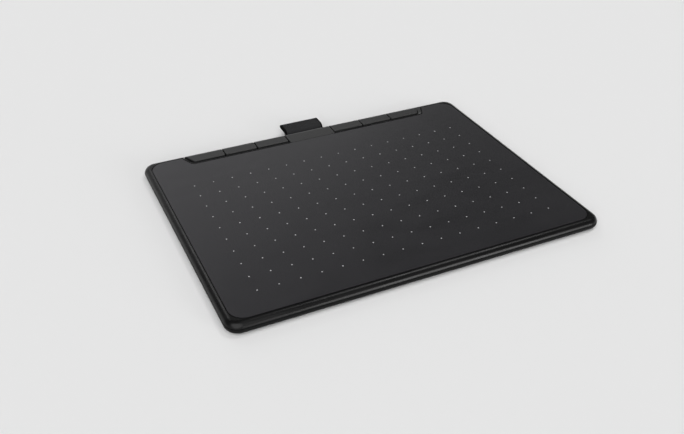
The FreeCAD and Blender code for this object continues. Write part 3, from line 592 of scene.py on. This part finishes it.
def makeStrap():
    turns = strapTurns()
    length = sum(turnLength(turn) for turn in turns)
    mesh = bmesh.new()
    bmesh.ops.create_grid(mesh, x_segments=strap["columns"], y_segments=strap["rows"], size=0.5)
    for vertex in mesh.verts:
        vertex.co.x *= strap["width"]
        vertex.co.y = (vertex.co.y + 0.5) * length
        vertex.co.z = -strap["thickness"] / 2
    bmesh.ops.solidify(mesh, geom=mesh.faces[:], thickness=-strap["thickness"])
    flat = mesh.loops.layers.uv.new("flat")
    for face in mesh.faces:
        face.smooth = True
        for loop in face.loops:
            loop[flat].uv = loop.vert.co.xy
    pressed = strap["wallHeight"] + (strap["layer"] - strap["gap"]) / 2
    start = (strap["wall"] - strap["rootLength"], pressed, 0.0)
    for vertex in mesh.verts:
        across, along, lift = vertex.co
        edge = strap["width"] / 2 - abs(across)
        slim = min(max(edge / strap["selvedge"], 0.0), 1.0)
        lift *= strap["edgeShare"] + (1 - strap["edgeShare"]) * math.sqrt(slim * (2 - slim))
        lift += math.copysign(ribHeight(across, along) * slim, lift)
        y, z, heading = strapPlace(turns, start, along)
        vertex.co = (across, y - lift * math.sin(heading), z + lift * math.cos(heading))
    bmesh.ops.recalc_face_normals(mesh, faces=mesh.faces[:])
    piece = makePiece("strap", mesh, finishes["webbing"])
    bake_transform(piece)
    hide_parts("pen_loop", "loop_root")
    print("strap made, flat length", round(length / mm, 1), "mm")


makeStrap()


# Snap domes: dished steel that flattens as its key goes down

dome = {
    "keys": 6,
    "rim": 0.88 * mm,
    "crown": 0.50 * mm,
    "round": 0.16 * mm,
    "roundSteps": 3,
    "sides": 32,
    "flatFrom": 0.99,  # faces that point this much up or down stay flat
}


def makeDome(number):
    low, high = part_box(f"switch_dome_{number}")
    middle = (low + high) / 2
    mesh = bmesh.new()
    bmesh.ops.create_cone(mesh, cap_ends=True, segments=dome["sides"], radius1=dome["rim"],
                          radius2=dome["crown"], depth=high.z - low.z)
    crown = [edge for edge in mesh.edges if all(vertex.co.z > 0 for vertex in edge.verts)]
    bmesh.ops.bevel(mesh, geom=crown, offset=dome["round"], affect="EDGES", segments=dome["roundSteps"],
                    profile=0.5, material=-1)
    bmesh.ops.translate(mesh, vec=middle, verts=mesh.verts[:])
    for face in mesh.faces:
        face.smooth = abs(face.normal.z) < dome["flatFrom"]
    piece = makePiece(f"dome_{number}", mesh, finishes["steel"])
    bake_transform(piece)
    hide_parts(f"switch_dome_{number}")


for number in range(1, dome["keys"] + 1):
    makeDome(number)
print("domes made:", dome["keys"])


# Inlet: gilt contacts on both faces of the tongue

contacts = {
    "number": 12,
    "pitch": 0.5 * mm,
    "width": 0.3 * mm,
    "length": 3.4 * mm,
    "thickness": 0.04 * mm,
    "round": 0.012 * mm,
    "fromTip": 0.6 * mm,
    "fromMiddle": 0.35 * mm,  # half the tongue's thickness
}


def makeContacts():
    low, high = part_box("usb_tongue")
    middleY, middleZ = (low.y + high.y) / 2, (low.z + high.z) / 2
    x = high.x - contacts["fromTip"] - contacts["length"] / 2
    mesh = bmesh.new()
    for side in (-1, 1):
        for number in range(contacts["number"]):
            made = bmesh.ops.create_cube(mesh, size=1.0)["verts"]
            size = (contacts["length"], contacts["width"], contacts["thickness"])
            bmesh.ops.scale(mesh, vec=size, verts=made)
            y = middleY + (number - (contacts["number"] - 1) / 2) * contacts["pitch"]
            bmesh.ops.translate(mesh, vec=(x, y, middleZ + side * contacts["fromMiddle"]), verts=made)
    bmesh.ops.bevel(mesh, geom=mesh.edges[:], offset=contacts["round"], affect="EDGES", segments=1,
                    profile=0.5, material=-1)
    piece = makePiece("contacts", mesh, finishes["gold"])
    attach(piece, "tablet")


makeContacts()
print("contacts made")


# Floor and soft light

stage = {
    "size": 30.0,
    "floor": 0.783,
    "studio": 0.10,
    "backdrop": 0.78,  # as bright as the floor
    "backdropUpTo": (6, 12),  # full up to the first height in degrees, gone by the second
}
lamps = {  # from: azimuth from +Y towards +X, and height above the floor, in degrees
    "key": {"from": (-147, 44), "spread": 70, "power": 2.80},
    "back": {"from": (0, 12), "spread": 60, "power": 0.465},
    "side": {"from": (34, 8), "spread": 40, "power": 0.05},
    "front": {"from": (152, 10), "spread": 20, "power": 1.05},
    "rimLeft": {"from": (-8, 41), "spread": 14, "power": 0.16},
    "rimFront": {"from": (83, 64), "spread": 14, "power": 0.48},
}


def makeFloor():
    mesh = bmesh.new()
    bmesh.ops.create_grid(mesh, x_segments=1, y_segments=1, size=stage["size"] / 2)
    material, tree, shader = newMaterial("floor")
    shader.inputs["Base Color"].default_value = (stage["floor"],) * 3 + (1,)
    shader.inputs["Roughness"].default_value = 1.0
    shader.inputs["Specular IOR Level"].default_value = 0.0
    floor = makePiece("floor", mesh, material)


def makeLamps():
    for name, lamp in lamps.items():
        data = bpy.data.lights.new(name, "SUN")
        data.energy = lamp["power"]
        data.angle = math.radians(lamp["spread"])
        light = bpy.data.objects.new(name, data)
        azimuth, height = (math.radians(angle) for angle in lamp["from"])
        light.rotation_euler = (math.pi / 2 - height, 0, math.pi - azimuth)
        bpy.context.scene.collection.objects.link(light)


def makeWorld():
    world = bpy.data.worlds.new("studio")
    bpy.context.scene.world = world
    world.use_nodes = True
    tree = world.node_tree
    direction = addNode(tree, "SeparateXYZ")
    tree.links.new(addNode(tree, "TexCoord").outputs["Generated"], direction.inputs["Vector"])
    low, high = (math.sin(math.radians(angle)) for angle in stage["backdropUpTo"])
    fade = addNode(tree, "MapRange", {"From Min": low, "From Max": high, "To Min": stage["backdrop"],
                                      "To Max": stage["studio"]}, interpolation_type="SMOOTHSTEP")
    tree.links.new(direction.outputs["Z"], fade.inputs["Value"])
    backdrop = tree.nodes["Background"]
    backdrop.inputs["Color"].default_value = (1, 1, 1, 1)
    tree.links.new(fade.outputs["Result"], backdrop.inputs["Strength"])


makeFloor()
makeLamps()
makeWorld()
bpy.context.scene.view_settings.view_transform = "Standard"
print("stage lit")
